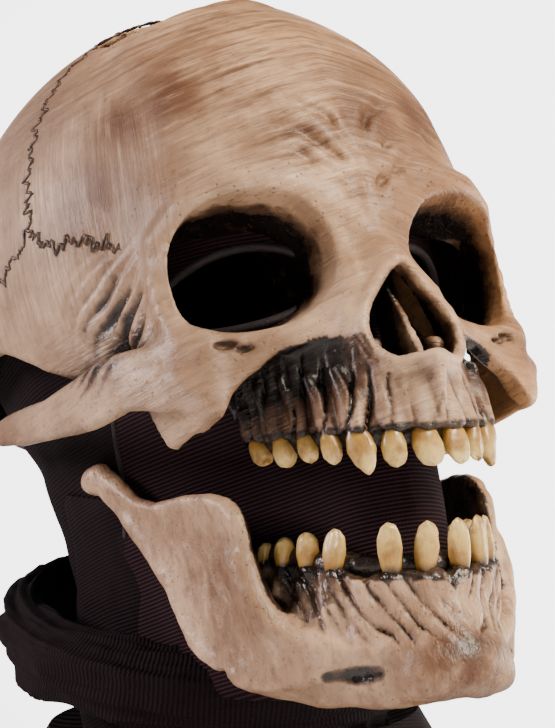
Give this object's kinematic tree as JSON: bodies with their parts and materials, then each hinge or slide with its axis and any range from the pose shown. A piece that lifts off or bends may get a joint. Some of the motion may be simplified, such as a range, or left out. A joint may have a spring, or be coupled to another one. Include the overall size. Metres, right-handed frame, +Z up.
{
  "type": "halloween skull mask",
  "caption": "Full-head moulded latex skull mask with yellow teeth and a separate jaw that opens, mounted on a black stretch hood with a neck cowl.",
  "frame": {"origin": "middle of the line between the wearer's ears, inside the mask", "axes": "+Z up through the crown, -Y the way the face looks, -X the wearer's right side; the neck leans back"},
  "size_m": [0.256, 0.3034, 0.3577],
  "materials": {
    "bone_latex": "satin painted latex, aged bone",
    "tooth_resin": "semi-gloss stained yellow",
    "gum_latex": "semi-gloss black",
    "hood_jersey": "ribbed black stretch jersey",
    "pad_foam": "open-cell foam",
    "elastic": "folded elastic tape",
    "set_glue": "cloudy set glue"
  },
  "bodies": {
    "skull": {"skull_shell": "bone_latex", "upper_gum": "gum_latex", "upper_tooth_r1": "tooth_resin", "upper_tooth_r2": "tooth_resin", "upper_tooth_r3": "tooth_resin", "upper_tooth_r4": "tooth_resin", "upper_tooth_r5": "tooth_resin", "upper_tooth_r6": "tooth_resin", "upper_tooth_r7": "tooth_resin", "upper_tooth_l1": "tooth_resin", "upper_tooth_l2": "tooth_resin", "upper_tooth_l3": "tooth_resin", "upper_tooth_l4": "tooth_resin", "upper_tooth_l5": "tooth_resin", "upper_tooth_l6": "tooth_resin", "upper_tooth_l7": "tooth_resin", "crown_pad": "pad_foam", "forehead_pad": "pad_foam", "rear_pad": "pad_foam", "side_pad_r": "pad_foam", "side_pad_l": "pad_foam", "hood_face_panel": "hood_jersey", "hood_back_panel": "hood_jersey", "hood_mouth_panel": "hood_jersey", "hood_throat_panel": "hood_jersey", "hood_seam_r": "hood_jersey", "hood_seam_l": "hood_jersey", "eye_binding_r": "elastic", "eye_binding_l": "elastic", "neck_cowl": "hood_jersey", "shoulder_bib": "hood_jersey"},
    "jaw": {"jaw_shell": "bone_latex", "lower_gum": "gum_latex", "lower_tooth_r1": "tooth_resin", "lower_tooth_r2": "tooth_resin", "lower_tooth_r4": "tooth_resin", "lower_tooth_r5": "tooth_resin", "lower_tooth_r6": "tooth_resin", "lower_tooth_r7": "tooth_resin", "lower_tooth_l1": "tooth_resin", "lower_tooth_l2": "tooth_resin", "lower_tooth_l3": "tooth_resin", "lower_tooth_l4": "tooth_resin", "lower_tooth_l5": "tooth_resin", "lower_tooth_l6": "tooth_resin", "lower_tooth_l7": "tooth_resin", "hood_chin_panel": "hood_jersey", "chin_pad": "pad_foam", "jaw_glue_bead": "set_glue"}
  },
  "joints": [
    {"name": "jaw_open", "type": "hinge", "parent": "skull", "child": "jaw", "pos_m": [0, -0.005, -0.018], "axis": [1, 0, 0], "range_deg": [-7, 6], "stiffness_Nm_per_rad": 3, "deforming": ["hood_mouth_panel", "hood_throat_panel"]}
  ]
}
